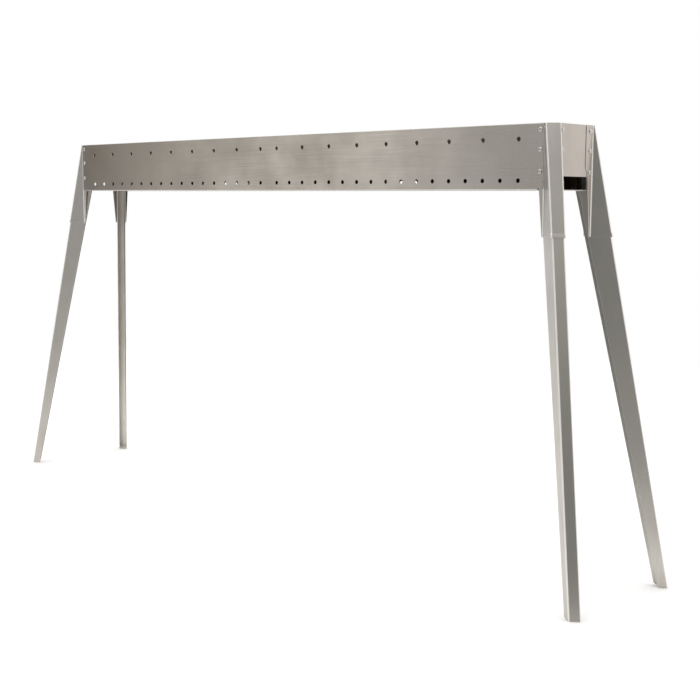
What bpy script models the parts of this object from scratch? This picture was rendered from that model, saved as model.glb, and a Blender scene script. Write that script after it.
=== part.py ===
"""Long sheet-metal skewer grill: a perforated fire trough on four plug-in legs.

Metres, +Z up. The origin is the centre of the footprint on the ground, +X runs along the
trough, and the front is -Y. Every sheet is modelled on its mid-surface and then thickened.
"""

import math

import bmesh
import bpy
from mathutils import Matrix, Vector

# Sheet and fits
SHEET = 0.0010            # thickness of every sheet
GAP = 0.0003              # air between pieces that touch
LEG_FIT = 0.0004          # air round a leg in its socket
RIVET_FIT = 0.00025       # air round a rivet shank in its hole

# Trough
TROUGH_LENGTH = 1.500     # long side panels, end to end
TROUGH_WIDTH = 0.136      # outside, across the rim
WALL_DRAFT = 0.0008       # how far each long panel leans in at the bottom
TROUGH_DEPTH = 0.1186     # rim to underside
RIM_HEIGHT = 0.8586       # ground to rim
HEM_HEIGHT = 0.0060       # rim folded back inside
HEM_THROAT = 0.0004       # air inside the folded hem
FLOOR_FOLD = 0.0016       # mid-surface radius of the two bottom folds
END_OVERHANG = 0.0215     # the ends stand this far beyond the long panels
END_INSET = 0.0185        # end plate's edge, in from the long panel's face
END_SLOT = 0.0247         # ash slot left under each end plate

# Air holes in the long panels, punched as two mirrored halves
HOLE_MARGIN = 0.0560      # outermost hole to the panel's end
CENTRE_GAP = 0.0545       # between the innermost holes of the halves
UPPER_PER_HALF = 9
LOWER_PER_HALF = 17
UPPER_HOLE_DROP = 0.0272  # hole centre below the rim
LOWER_HOLE_DROP = 0.1016
UPPER_HOLE = 0.0090
LOWER_HOLE = 0.0085

# Corner sockets and legs
SOCKET_DEPTH = 0.2027     # rim to socket mouth
FOLD_STUB = 0.0030        # width of the side walls where they start at the rim
MOUTH_STEP = 0.0006       # how far the mouth's lip stands out
MOUTH_LIP = 0.0070        # height of that lip
MOUTH_JOGGLE = 0.0012     # height of the step above the lip
FLANGE_TOP = 0.0200       # flange width beside the rivets
FLANGE_THROAT = 0.0130    # flange width at the end plate's lower edge
FLANGE_FLARE = 0.0200     # height over which it widens again
FLANGE_FOOT = 0.0030      # flange width at the mouth
FLANGE_DROP = 0.0014      # flange top edge below the hem
NOTCH_FIT = 0.0035        # air round a flange where it passes the floor
FOOT_SPREAD_X = 0.1520    # foot's web beyond the long panel's end
FOOT_SPREAD_Y = 0.0777    # and beyond its face
LEG_WIDTH = 0.0225        # web of a leg, outside
LEG_WALL_MOUTH = 0.0425   # side wall of a leg at the socket mouth
LEG_WALL_FOOT = 0.0186    # side wall of a leg on the ground

# Rivets
RIVET_DROPS = (0.0113, 0.0468, 0.0858)   # centres below the rim
RIVET_INSET = 0.0070                     # from the fold that they stand beside
RIVET_SHANK = 0.0040
RIVET_HEAD = 0.0084
RIVET_DOME = 0.0018
RIVET_TAIL = 0.0056
RIVET_TAIL_LENGTH = 0.0030

# Charcoal grate
GRATE_END_AIR = 0.0200    # from the long panels' ends
GRATE_SIDE_AIR = 0.0022   # from the long panels' inner faces
GRATE_HEIGHT = 0.0320     # floor to the deck's upper face
GRATE_RAIL = 0.0045       # side edges folded down, clear of the lower air holes
GRATE_FEET = 5            # along each side
GRATE_FOOT = 0.0140       # length of a foot
GRATE_HOLE = 0.0110
GRATE_HOLE_PITCH = 0.0540 # along the grate
GRATE_ROWS = 3
GRATE_ROW_PITCH = 0.0360

# Facets and cutters
HOLE_SIDES = 8
ROUND_SIDES = 10
FOLD_STEPS = 3
HEM_STEPS = 4
TRIM = 0.0020             # length left on a sloping sheet before its ends are cut level
THROUGH = 0.0100          # length of a cutter that passes through a sheet

PANEL_END = TROUGH_LENGTH / 2
FLOOR_WIDTH = TROUGH_WIDTH - 2 * WALL_DRAFT
FLOOR_Z = RIM_HEIGHT - TROUGH_DEPTH
END_WIDTH = TROUGH_WIDTH - 2 * END_INSET
END_FACE = PANEL_END + END_OVERHANG
END_FOOT = FLOOR_Z + END_SLOT
MOUTH_Z = RIM_HEIGHT - SOCKET_DEPTH
HEM_RADIUS = (SHEET + HEM_THROAT) / 2
FOOT_X = PANEL_END + FOOT_SPREAD_X
FOOT_Y = TROUGH_WIDTH / 2 + FOOT_SPREAD_Y
RIVET_BORE = RIVET_SHANK + 2 * RIVET_FIT
CORNERS = {
    "front_left": (-1, -1),
    "front_right": (1, -1),
    "back_left": (-1, 1),
    "back_right": (1, 1),
}


def steel(name, colour, roughness):
    """Return a bare stainless material with its own tint and polish."""
    material = bpy.data.materials.new(name)
    material.use_nodes = True
    shader = material.node_tree.nodes["Principled BSDF"]
    shader.inputs["Base Color"].default_value = (*colour, 1.0)
    shader.inputs["Metallic"].default_value = 1.0
    shader.inputs["Roughness"].default_value = roughness
    return material


def add_object(name, mesh, material, collection, origin=Vector()):
    """Link a mesh as a named object with its own material."""
    part = bpy.data.objects.new(name, mesh)
    part.location = origin
    if material:
        mesh.materials.append(material)
    collection.objects.link(part)
    return part


def folded_sheet(name, sections, material, origin=Vector()):
    """Loft an open strip through cross-sections and thicken it about its mid-surface."""
    bm = bmesh.new()
    row = [bm.verts.new(point - origin) for point in sections[0]]
    edges = [bm.edges.new(pair) for pair in zip(row, row[1:])]
    for section in sections[1:]:
        made = bmesh.ops.extrude_edge_only(bm, edges=edges)["geom"]
        copies = {item.co.to_tuple(): item for item in made if isinstance(item, bmesh.types.BMVert)}
        row = [copies[vert.co.to_tuple()] for vert in row]
        for vert, point in zip(row, section):
            vert.co = point - origin
        edges = [bm.edges.get(pair) for pair in zip(row, row[1:])]
    mesh = bpy.data.meshes.new(name)
    bm.to_mesh(mesh)
    bm.free()
    part = add_object(name, mesh, material, PARTS, origin)
    solidify = part.modifiers.new("Sheet", "SOLIDIFY")
    solidify.thickness = SHEET
    solidify.offset = 0.0
    solidify.use_even_offset = True
    return part


def cut(part, cutter):
    """Subtract a hidden cutter from a part."""
    cutter.hide_render = True
    cutter.display_type = "WIRE"
    boolean = part.modifiers.new(cutter.name, "BOOLEAN")
    boolean.operation = "DIFFERENCE"
    boolean.object = cutter


def drill(name, centres, diameter, depth, axis):
    """Make one cutter out of parallel cylinders that run along X, Y or Z."""
    turn = {"X": Matrix.Rotation(math.pi / 2, 4, "Y"), "Y": Matrix.Rotation(math.pi / 2, 4, "X")}
    bm = bmesh.new()
    for centre in centres:
        bmesh.ops.create_cone(
            bm,
            cap_ends=True,
            segments=HOLE_SIDES,
            radius1=diameter / 2,
            radius2=diameter / 2,
            depth=depth,
            matrix=Matrix.Translation(centre) @ turn.get(axis, Matrix()),
        )
    mesh = bpy.data.meshes.new(name)
    bm.to_mesh(mesh)
    bm.free()
    return add_object(name, mesh, None, CUTTERS)


def block(name, low, high):
    """Make a box cutter between two opposite corners."""
    middle = (Vector(low) + Vector(high)) / 2
    size = [abs(b - a) for a, b in zip(low, high)]
    bm = bmesh.new()
    bmesh.ops.create_cube(bm, size=1.0, matrix=Matrix.Translation(middle) @ Matrix.Diagonal((*size, 1.0)))
    mesh = bpy.data.meshes.new(name)
    bm.to_mesh(mesh)
    bm.free()
    return add_object(name, mesh, None, CUTTERS)


def trim_flat(part, name, low, high):
    """Cut a part off level between two heights, right across the object."""
    cut(part, block(name, (-2 * FOOT_X, -2 * FOOT_Y, low), (2 * FOOT_X, 2 * FOOT_Y, high)))


def prism(name, outline, low, high):
    """Make an upright cutter from a flat outline."""
    bm = bmesh.new()
    face = bm.faces.new([bm.verts.new((x, y, low)) for x, y in outline])
    made = bmesh.ops.extrude_face_region(bm, geom=[face])["geom"]
    top = [item for item in made if isinstance(item, bmesh.types.BMVert)]
    bmesh.ops.translate(bm, verts=top, vec=(0.0, 0.0, high - low))
    bmesh.ops.recalc_face_normals(bm, faces=bm.faces)
    mesh = bpy.data.meshes.new(name)
    bm.to_mesh(mesh)
    bm.free()
    return add_object(name, mesh, None, CUTTERS)


def arc(centre, radius, start, end, steps):
    """Return points on an arc, from one angle in degrees to another."""
    angles = [math.radians(start + (end - start) * step / steps) for step in range(steps + 1)]
    return [(centre[0] + radius * math.cos(a), centre[1] + radius * math.sin(a)) for a in angles]


def panel_face(z):
    """Return the outer half-width of the trough at a height."""
    share = (RIM_HEIGHT - z) / TROUGH_DEPTH
    return (TROUGH_WIDTH + (FLOOR_WIDTH - TROUGH_WIDTH) * share) / 2


def hem_points(face):
    """Return a rim hem's mid-surface, from the outer wall over to its free edge inside."""
    centre = face - SHEET / 2 - HEM_RADIUS
    crown = RIM_HEIGHT - SHEET / 2 - HEM_RADIUS
    over = arc((centre, crown), HEM_RADIUS, 0, 180, HEM_STEPS)
    return over + [(centre - HEM_RADIUS, RIM_HEIGHT - HEM_HEIGHT)]


def hole_stations(count):
    """Return hole positions along X for both mirrored halves of a row."""
    first = CENTRE_GAP / 2
    pitch = (PANEL_END - HOLE_MARGIN - first) / (count - 1)
    half = [first + pitch * step for step in range(count)]
    return [-x for x in reversed(half)] + half


def rivet_centres(sx, sy):
    """Return the rivet places of a corner: three on the long panel and three on the end."""
    levels = [RIM_HEIGHT - drop for drop in RIVET_DROPS]
    panel_x = sx * (PANEL_END - RIVET_INSET)
    end_x = sx * (END_FACE + GAP + SHEET)
    end_y = sy * (END_WIDTH / 2 - RIVET_INSET)
    panel = [(Vector((panel_x, sy * panel_face(z), z)), "Y") for z in levels]
    return panel + [(Vector((end_x, end_y, z)), "X") for z in levels]


def build_trough(corner):
    """Fold the front, floor and back from one sheet, with hemmed rims and rows of air holes."""
    side = hem_points(TROUGH_WIDTH / 2)[::-1]
    low = FLOOR_Z + SHEET / 2 + FLOOR_FOLD
    fold_y = FLOOR_WIDTH / 2 - SHEET / 2 - FLOOR_FOLD
    side += arc((fold_y, low), FLOOR_FOLD, 0, -90, FOLD_STEPS)
    outline = side + [(-y, z) for y, z in reversed(side)]
    ends = (-END_FACE + GAP, END_FACE - GAP)
    sections = [[Vector((x, y, z)) for y, z in outline] for x in ends]
    trough = folded_sheet("trough_body", sections, steel("trough steel", (0.36, 0.35, 0.32), 0.34))
    across = TROUGH_WIDTH + THROUGH
    upper = [Vector((x, 0, RIM_HEIGHT - UPPER_HOLE_DROP)) for x in hole_stations(UPPER_PER_HALF)]
    lower = [Vector((x, 0, RIM_HEIGHT - LOWER_HOLE_DROP)) for x in hole_stations(LOWER_PER_HALF)]
    rivet_x = PANEL_END - RIVET_INSET
    rivets = [Vector((x, 0, RIM_HEIGHT - drop)) for x in (-rivet_x, rivet_x) for drop in RIVET_DROPS]
    cut(trough, drill("upper air holes", upper, UPPER_HOLE, across, "Y"))
    cut(trough, drill("lower air holes", lower, LOWER_HOLE, across, "Y"))
    cut(trough, drill("panel rivet holes", rivets, RIVET_BORE, across, "Y"))
    for sx, sy in CORNERS.values():
        cut_corner(trough, corner, sx, sy)
    return trough


def cut_corner(trough, corner, sx, sy):
    """Chamfer a floor corner into the end plate's tongue and notch it for the panel flange."""
    reach = END_FACE + END_OVERHANG
    flange_y = panel_face(FLOOR_Z) - 2 * SHEET - 3 * GAP
    tongue_y = END_WIDTH / 2 - GAP
    outside = [
        (sx * PANEL_END, sy * TROUGH_WIDTH),
        (sx * PANEL_END, sy * flange_y),
        (sx * END_FACE, sy * tongue_y),
        (sx * reach, sy * tongue_y),
        (sx * reach, sy * TROUGH_WIDTH),
    ]
    below = FLOOR_Z - SHEET
    cut(trough, prism(f"corner clearance {sx} {sy}", outside, below, RIM_HEIGHT + SHEET))
    above = FLOOR_Z + SHEET / 2 + FLOOR_FOLD
    flange_x = corner.panel_fold_x - flange_width(above) - NOTCH_FIT
    low = (sx * flange_x, sy * flange_y, below)
    high = (sx * reach, sy * TROUGH_WIDTH, above)
    cut(trough, block(f"flange notch {sx} {sy}", low, high))


def build_end(name, sx):
    """Make an end plate with a hemmed rim, hung between two sockets over the ash slot."""
    outline = [(END_FACE - SHEET / 2, END_FOOT)] + hem_points(END_FACE)
    half = END_WIDTH / 2
    sections = [[Vector((sx * x, y, z)) for x, z in outline] for y in (-half, half)]
    plate = folded_sheet(name, sections, steel(f"{name} steel", (0.46, 0.43, 0.42), 0.30))
    rivet_y = half - RIVET_INSET
    places = [(y, RIM_HEIGHT - drop) for y in (-rivet_y, rivet_y) for drop in RIVET_DROPS]
    holes = [Vector((sx * END_FACE, y, z)) for y, z in places]
    cut(plate, drill(f"{name} rivet holes", holes, RIVET_BORE, THROUGH, "X"))
    return plate


def flange_width(z):
    """Return a socket flange's width at a height: wide by the rivets, nearly nothing at the mouth."""
    if z >= END_FOOT:
        share = min((z - END_FOOT) / FLANGE_FLARE, 1.0)
        return FLANGE_THROAT + (FLANGE_TOP - FLANGE_THROAT) * share
    share = (z - MOUTH_Z) / (END_FOOT - MOUTH_Z)
    return FLANGE_FOOT + (FLANGE_THROAT - FLANGE_FOOT) * share


class Corner:
    """Plan geometry of the socket and leg at one corner, for the +X +Y quadrant."""

    def __init__(self):
        self.panel_fold_x = PANEL_END + SHEET + GAP
        self.end_fold_y = END_WIDTH / 2 + SHEET / 2
        self.end_flange_x = END_FACE + GAP + SHEET / 2
        lean = Vector((FOOT_X - PANEL_END, FOOT_Y - TROUGH_WIDTH / 2)).normalized()
        top_a = self.panel_fold(RIM_HEIGHT) + lean * FOLD_STUB
        top_b = self.end_fold() + lean * FOLD_STUB
        self.along = (top_b - top_a).normalized()
        self.out = Vector((-self.along.y, self.along.x))
        self.top_width = (top_b - top_a).length
        top = (top_a + top_b) / 2
        foot = Vector((FOOT_X, FOOT_Y)) + self.out * (SHEET / 2 + LEG_FIT)
        self.slope = (foot - top) / RIM_HEIGHT
        self.top = top
        self.mouth_width = LEG_WIDTH + SHEET + 2 * LEG_FIT
        # A web that widens downwards has its full width before it meets the leg's top, where
        # the leg then fits tightest. A web that narrows is tightest at the mouth.
        widens = self.mouth_width > self.top_width
        self.full_width_z = END_FOOT if widens else MOUTH_Z
        self.tight_z = FLOOR_Z if widens else MOUTH_Z

    def panel_fold(self, z):
        """Return where the panel flange turns into its side wall."""
        return Vector((self.panel_fold_x, panel_face(z) - SHEET - GAP - SHEET / 2))

    def end_fold(self):
        """Return where the end flange turns into its side wall."""
        return Vector((self.end_flange_x, self.end_fold_y))

    def web_centre(self, z):
        """Return the middle of the socket's web at a height."""
        return self.top + self.slope * (RIM_HEIGHT - z)

    def web_folds(self, z):
        """Return the two folds of the socket's web at a height."""
        share = min((RIM_HEIGHT - z) / (RIM_HEIGHT - self.full_width_z), 1.0)
        half = (self.top_width + (self.mouth_width - self.top_width) * share) / 2
        centre = self.web_centre(z)
        return centre - self.along * half, centre + self.along * half

    def socket_section(self, z, step=0.0):
        """Return the socket's plan outline from the panel flange round to the end flange."""
        fold_a, fold_b = self.web_folds(z)
        panel_fold = self.panel_fold(z)
        end_fold = self.end_fold()
        width = flange_width(z)
        wide = self.along * step
        return [
            panel_fold - Vector((width, 0.0)),
            panel_fold,
            fold_a - wide + self.out * step,
            fold_b + wide + self.out * step,
            end_fold,
            end_fold - Vector((0.0, width)),
        ]

    def leg_section(self, z):
        """Return the leg's plan outline from one free edge round to the other."""
        fold_a, fold_b = self.web_folds(MOUTH_Z)
        tight_a, tight_b = self.web_folds(self.tight_z)
        wall_a = (self.panel_fold(self.tight_z) - tight_a).normalized()
        wall_b = (self.end_fold() - tight_b).normalized()
        offset = SHEET + LEG_FIT
        shift = self.slope * (MOUTH_Z - z)
        corner_a = fold_a + self.inset(self.along, wall_a, offset)
        corner_b = fold_b + self.inset(-self.along, wall_b, offset)
        share = z / MOUTH_Z
        length = LEG_WALL_FOOT + (LEG_WALL_MOUTH - LEG_WALL_FOOT) * share
        return [
            corner_a + wall_a * length + shift,
            corner_a + shift,
            corner_b + shift,
            corner_b + wall_b * length + shift,
        ]

    @staticmethod
    def inset(first, second, offset):
        """Return the shift that moves a corner inwards by the same offset from both its sides."""
        sine = abs(first.cross(second))
        return (first + second) * (offset / sine)


def at_height(points, z, sx, sy):
    """Lift plan points to a height and mirror them into their quadrant."""
    return [Vector((sx * point.x, sy * point.y, z)) for point in points]


def build_socket(name, corner, sx, sy):
    """Fold a leg socket that bridges the gap between a long panel and an end plate."""
    lip = MOUTH_Z + MOUTH_LIP
    levels = [
        (RIM_HEIGHT + TRIM, 0.0),
        (END_FOOT + FLANGE_FLARE, 0.0),
        (END_FOOT, 0.0),
        (lip + MOUTH_JOGGLE, 0.0),
        (lip, MOUTH_STEP),
        (MOUTH_Z, MOUTH_STEP),
    ]
    sections = [at_height(corner.socket_section(z, step), z, sx, sy) for z, step in levels]
    socket = folded_sheet(name, sections, steel(f"{name} steel", (0.42, 0.41, 0.40), 0.30))
    trim_flat(socket, f"{name} rim trim", RIM_HEIGHT, RIM_HEIGHT + 2 * TRIM)
    low = (sx * (PANEL_END - FLANGE_TOP), 0.0, RIM_HEIGHT - HEM_HEIGHT - FLANGE_DROP)
    high = (sx * (PANEL_END + GAP), sy * TROUGH_WIDTH, RIM_HEIGHT + TRIM)
    cut(socket, block(f"{name} hem relief", low, high))
    for place, axis in rivet_centres(sx, sy):
        tag = f"{name} rivet hole {axis} {place.z:.3f}"
        cut(socket, drill(tag, [place], RIVET_BORE, THROUGH, axis))
    return socket


def build_leg(name, corner, sx, sy):
    """Fold a tapering channel leg that plugs into its socket from below."""
    top = FLOOR_Z - GAP
    mouth = corner.web_centre(MOUTH_Z) - corner.out * (SHEET + LEG_FIT)
    origin = Vector((sx * mouth.x, sy * mouth.y, MOUTH_Z))
    sections = [at_height(corner.leg_section(z), z, sx, sy) for z in (top + TRIM, -TRIM)]
    leg = folded_sheet(name, sections, steel(f"{name} steel", (0.40, 0.40, 0.39), 0.30), origin)
    trim_flat(leg, f"{name} top trim", top, top + 2 * TRIM)
    trim_flat(leg, f"{name} foot trim", -2 * TRIM, 0.0)
    return leg


def rivet_profile():
    """Return a domed blind rivet's profile about +Z: head above the sheets, bulb below."""
    grip = 2 * SHEET + 2 * GAP
    bulb = grip + GAP
    tail = grip + RIVET_TAIL_LENGTH
    dome = arc((0.0, 0.0), 1.0, 0, 90, FOLD_STEPS)[-2::-1]
    outline = [(0.0, GAP + RIVET_DOME)]
    outline += [(x * RIVET_HEAD / 2, GAP + z * RIVET_DOME) for x, z in dome]
    outline += [(RIVET_SHANK / 2, GAP), (RIVET_SHANK / 2, -grip)]
    outline += [(RIVET_TAIL / 2, -bulb), (RIVET_TAIL / 2, -tail), (0.0, -tail)]
    bm = bmesh.new()
    verts = [bm.verts.new((x, 0.0, z)) for x, z in outline]
    for pair in zip(verts, verts[1:]):
        bm.edges.new(pair)
    mesh = bpy.data.meshes.new("blind rivet")
    bm.to_mesh(mesh)
    bm.free()
    return mesh


def build_rivets(name, profile, sx, sy):
    """Set a corner's six rivets with their domes outside."""
    for number, (place, axis) in enumerate(rivet_centres(sx, sy), 1):
        rivet = bpy.data.objects.new(f"rivet_{name}_{number}", profile)
        outward = Vector((sx, 0, 0)) if axis == "X" else Vector((0, sy, 0))
        rivet.rotation_euler = outward.to_track_quat("Z", "Y").to_euler()
        rivet.location = place
        PARTS.objects.link(rivet)
        turn = rivet.modifiers.new("Turned", "SCREW")
        turn.steps = ROUND_SIDES
        turn.render_steps = ROUND_SIDES
        turn.use_merge_vertices = True
        turn.merge_threshold = 0.00001


def build_grate():
    """Fold the lift-out charcoal grate: a perforated deck with down-turned rails on short feet."""
    floor = FLOOR_Z + SHEET + GAP
    top = floor + GRATE_HEIGHT
    deck = top - SHEET / 2
    half = FLOOR_WIDTH / 2 - SHEET - GRATE_SIDE_AIR - SHEET / 2
    end = PANEL_END - GRATE_END_AIR
    side = [(half, floor)] + arc((half - FLOOR_FOLD, deck - FLOOR_FOLD), FLOOR_FOLD, 0, 90, FOLD_STEPS)
    outline = side + [(-y, z) for y, z in reversed(side)]
    sections = [[Vector((x, y, z)) for y, z in outline] for x in (-end, end)]
    centre = Vector((0.0, 0.0, deck))
    grate = folded_sheet("charcoal_grate", sections, steel("grate steel", (0.18, 0.17, 0.16), 0.45), centre)
    step = (2 * end - GRATE_FOOT) / (GRATE_FEET - 1)
    for gap in range(GRATE_FEET - 1):
        left = -end + GRATE_FOOT + gap * step
        low = (left, -TROUGH_WIDTH, floor - SHEET)
        high = (left + step - GRATE_FOOT, TROUGH_WIDTH, top - GRATE_RAIL)
        cut(grate, block(f"grate foot gap {gap}", low, high))
    columns = int(2 * end / GRATE_HOLE_PITCH)
    xs = [(column - (columns - 1) / 2) * GRATE_HOLE_PITCH for column in range(columns)]
    ys = [(row - (GRATE_ROWS - 1) / 2) * GRATE_ROW_PITCH for row in range(GRATE_ROWS)]
    holes = [Vector((x, y, deck)) for x in xs for y in ys]
    cut(grate, drill("grate holes", holes, GRATE_HOLE, THROUGH, "Z"))
    return grate


def build():
    """Build the whole grill."""
    corner = Corner()
    build_trough(corner)
    build_end("end_plate_left", -1)
    build_end("end_plate_right", 1)
    rivet = rivet_profile()
    rivet.materials.append(steel("rivet steel", (0.62, 0.61, 0.59), 0.22))
    for name, (sx, sy) in CORNERS.items():
        build_socket(f"socket_{name}", corner, sx, sy)
        build_leg(f"leg_{name}", corner, sx, sy)
        build_rivets(name, rivet, sx, sy)
    build_grate()


for leftover in list(bpy.data.objects):
    bpy.data.objects.remove(leftover)
PARTS = bpy.data.collections.new("skewer grill")
CUTTERS = bpy.data.collections.new("cutters")
for collection in (PARTS, CUTTERS):
    bpy.context.scene.collection.children.link(collection)
build()
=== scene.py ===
"""A long skewer grill in folded stainless sheet: the finished look over its CAD frame.

The trough, its ends, the corner sockets, the plug-in legs, the blind rivets and the charcoal
grate are shaped here with soft folds, hemmed rims and punched holes, each on its CAD body.
"""

import logging
import math
from collections.abc import Callable, Sequence
from dataclasses import dataclass, field
from enum import Enum

import bmesh
import bpy
from mathutils import Matrix, Vector


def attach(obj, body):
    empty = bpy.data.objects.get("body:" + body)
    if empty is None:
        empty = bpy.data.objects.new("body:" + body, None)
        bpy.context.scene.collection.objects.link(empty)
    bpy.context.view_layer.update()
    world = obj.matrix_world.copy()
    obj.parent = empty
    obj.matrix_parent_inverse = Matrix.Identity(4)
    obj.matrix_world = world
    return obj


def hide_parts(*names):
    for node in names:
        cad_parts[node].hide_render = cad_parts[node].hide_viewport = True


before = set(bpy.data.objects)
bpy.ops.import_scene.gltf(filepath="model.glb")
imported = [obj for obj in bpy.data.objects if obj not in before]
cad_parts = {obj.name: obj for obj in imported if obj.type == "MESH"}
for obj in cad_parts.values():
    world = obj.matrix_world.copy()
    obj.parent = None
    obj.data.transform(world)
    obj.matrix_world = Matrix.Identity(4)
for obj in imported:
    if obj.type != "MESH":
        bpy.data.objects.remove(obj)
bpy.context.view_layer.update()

logging.basicConfig(level=logging.INFO, format="%(levelname)s %(message)s")
log = logging.getLogger("skewer grill")

Point = tuple[float, float]

TOUCH = 1e-6        # heights closer than this are the same height
INWARD = 1e-4       # normal times place, along an axis: past minus this a face looks inwards
MIX_A, MIX_B, MIX_RESULT = 6, 7, 2  # a Mix node's colour sockets, which share their names


# --- Workshop: Blender's operators as hand tools ---------------------------------------------


def deselect_all() -> None:
    """Clear the selection, which every operator acts on."""
    for thing in bpy.context.selected_objects:
        thing.select_set(False)


def only(piece: bpy.types.Object) -> None:
    """Make one piece the only selected and active object."""
    deselect_all()
    piece.select_set(True)
    bpy.context.view_layer.objects.active = piece


def named(name: str) -> bpy.types.Object:
    """Name the primitive that was just added, and its mesh."""
    piece = bpy.context.object
    piece.name = name
    piece.data.name = name
    return piece


def pick(
    piece: bpy.types.Object,
    verts: Callable[[Vector], bool] | None = None,
    edges: Callable[[Vector, Vector], bool] | None = None,
    faces: Callable[[Vector, Vector], bool] | None = None,
) -> None:
    """Select in edit mode by place.

    Args:
        piece: The mesh object, in edit mode.
        verts: Tells from a vertex's place whether it is selected.
        edges: Tells from an edge's two ends whether it is selected.
        faces: Tells from a face's centre and normal whether it is selected.
    """
    mode = {"VERT": verts, "EDGE": edges, "FACE": faces}
    kind = next(name for name, rule in mode.items() if rule)
    bpy.ops.mesh.select_mode(type=kind)
    bpy.ops.mesh.select_all(action="DESELECT")
    mesh = bmesh.from_edit_mesh(piece.data)
    if verts:
        for vert in mesh.verts:
            vert.select = verts(vert.co)
    if edges:
        for edge in mesh.edges:
            edge.select = edges(edge.verts[0].co, edge.verts[1].co)
    if faces:
        for face in mesh.faces:
            face.select = faces(face.calc_center_median(), face.normal)
    mesh.select_flush_mode()
    bmesh.update_edit_mesh(piece.data)


def apply(piece: bpy.types.Object, kind: str, **settings: object) -> None:
    """Add one modifier to a piece and apply it.

    Args:
        piece: The object to modify.
        kind: The modifier's type.
        settings: Its properties.
    """
    only(piece)
    modifier = piece.modifiers.new(kind.title(), kind)
    for key, value in settings.items():
        setattr(modifier, key, value)
    bpy.ops.object.modifier_apply(modifier=modifier.name)


def settle(piece: bpy.types.Object) -> None:
    """Put a piece's place into its mesh, so that its object stands at the origin."""
    only(piece)
    bpy.ops.object.transform_apply(location=True, rotation=True, scale=True)


def cut_away(piece: bpy.types.Object, cutter: bpy.types.Object) -> None:
    """Punch a cutter's shape out of a piece and drop the cutter."""
    apply(piece, "BOOLEAN", operation="DIFFERENCE", object=cutter)
    bpy.data.objects.remove(cutter)


def cut_box(piece: bpy.types.Object, name: str, one: Vector, other: Vector) -> None:
    """Cut a box out of a piece.

    Args:
        piece: The piece to cut.
        name: The cutter's name.
        one: One corner of the box.
        other: The corner opposite to it.
    """
    deselect_all()
    bpy.ops.mesh.primitive_cube_add(size=1.0, location=(one + other) / 2)
    cutter = named(name)
    cutter.scale = [abs(part) for part in other - one]
    settle(cutter)
    cut_away(piece, cutter)


@dataclass(frozen=True)
class Punch:
    """A round punch, used in rows along X."""

    diameter: float
    length: float
    corners: int
    tilt: float = 0.0  # turn about X from upright, in degrees

    def row(self, name: str, place: Sequence[float], count: int, step: float) -> bpy.types.Object:
        """Make the punches for one row of holes.

        Args:
            name: The cutter's name.
            place: Centre of the first punch.
            count: How many punches.
            step: Their spacing along X.

        Returns:
            The cutter.
        """
        deselect_all()
        bpy.ops.mesh.primitive_cylinder_add(
            vertices=self.corners,
            radius=self.diameter / 2,
            depth=self.length,
            location=place,
            rotation=(math.radians(self.tilt), 0.0, 0.0),
        )
        cutter = named(name)
        settle(cutter)
        apply(
            cutter,
            "ARRAY",
            count=count,
            use_relative_offset=False,
            use_constant_offset=True,
            constant_offset_displace=(step, 0.0, 0.0),
        )
        return cutter


def smooth(piece: bpy.types.Object, angle: float = 28.0) -> None:
    """Shade a piece smooth up to an angle in degrees, and keep its flats flat beside the bends."""
    only(piece)
    bpy.ops.object.shade_smooth_by_angle(angle=math.radians(angle))
    apply(piece, "WEIGHTED_NORMAL", mode="FACE_AREA", weight=100, keep_sharp=True)


def arc(centre: Point, radius: float, start: float, end: float, steps: int) -> list[Point]:
    """Return points on an arc.

    Args:
        centre: The arc's centre.
        radius: Its radius.
        start: First angle in degrees.
        end: Last angle in degrees.
        steps: How many chords.

    Returns:
        The points, ends included.
    """
    angles = [math.radians(start + (end - start) * step / steps) for step in range(steps + 1)]
    return [(centre[0] + radius * math.cos(a), centre[1] + radius * math.sin(a)) for a in angles]


def rounded(row: Sequence[Vector], folds: dict[int, float], steps: int = 5) -> list[Vector]:
    """Round the sharp folds of one outline.

    Args:
        row: The outline's points.
        folds: For each fold's index, how far back along its two sides the bend starts.
        steps: How many chords a bend gets.

    Returns:
        The outline with each fold replaced by a soft bend.
    """
    points = []
    for index, point in enumerate(row):
        if index not in folds:
            points.append(point)
            continue
        before = row[index - 1] - point
        after = row[index + 1] - point
        most = 0.45 * min(before.length, after.length)
        reach = min(folds[index], most)
        start = point + before.normalized() * reach
        end = point + after.normalized() * reach
        for step in range(steps + 1):
            t = step / steps
            points.append((1 - t) ** 2 * start + 2 * t * (1 - t) * point + t**2 * end)
    return points


def folded_sheet(
    name: str,
    rows: Sequence[Sequence[Vector]],
    thickness: float,
    soften: Callable[[bpy.types.Object], None] | None = None,
) -> bpy.types.Object:
    """Fold a flat grid into an open channel and give it its gauge.

    Args:
        name: The piece's name.
        rows: The channel's outline at each station, all with the same number of points.
        thickness: Gauge of the sheet.
        soften: More edit-mode work on the thin surface.

    Returns:
        The sheet, with its outline's points in the middle of its gauge.
    """
    across = len(rows[0])
    along = len(rows)
    deselect_all()
    bpy.ops.mesh.primitive_grid_add(x_subdivisions=across - 1, y_subdivisions=along - 1, size=1.0)
    piece = named(name)
    bpy.ops.object.mode_set(mode="EDIT")
    mesh = bmesh.from_edit_mesh(piece.data)
    mesh.verts.ensure_lookup_table()
    for index, vert in enumerate(mesh.verts):
        vert.co = rows[index // across][index % across]
    bmesh.update_edit_mesh(piece.data)
    if soften:
        soften(piece)
    bpy.ops.mesh.select_all(action="SELECT")
    bpy.ops.mesh.normals_make_consistent(inside=False)
    bpy.ops.object.mode_set(mode="OBJECT")
    apply(piece, "SOLIDIFY", thickness=thickness, offset=0.0, use_even_offset=True)
    return piece


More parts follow.
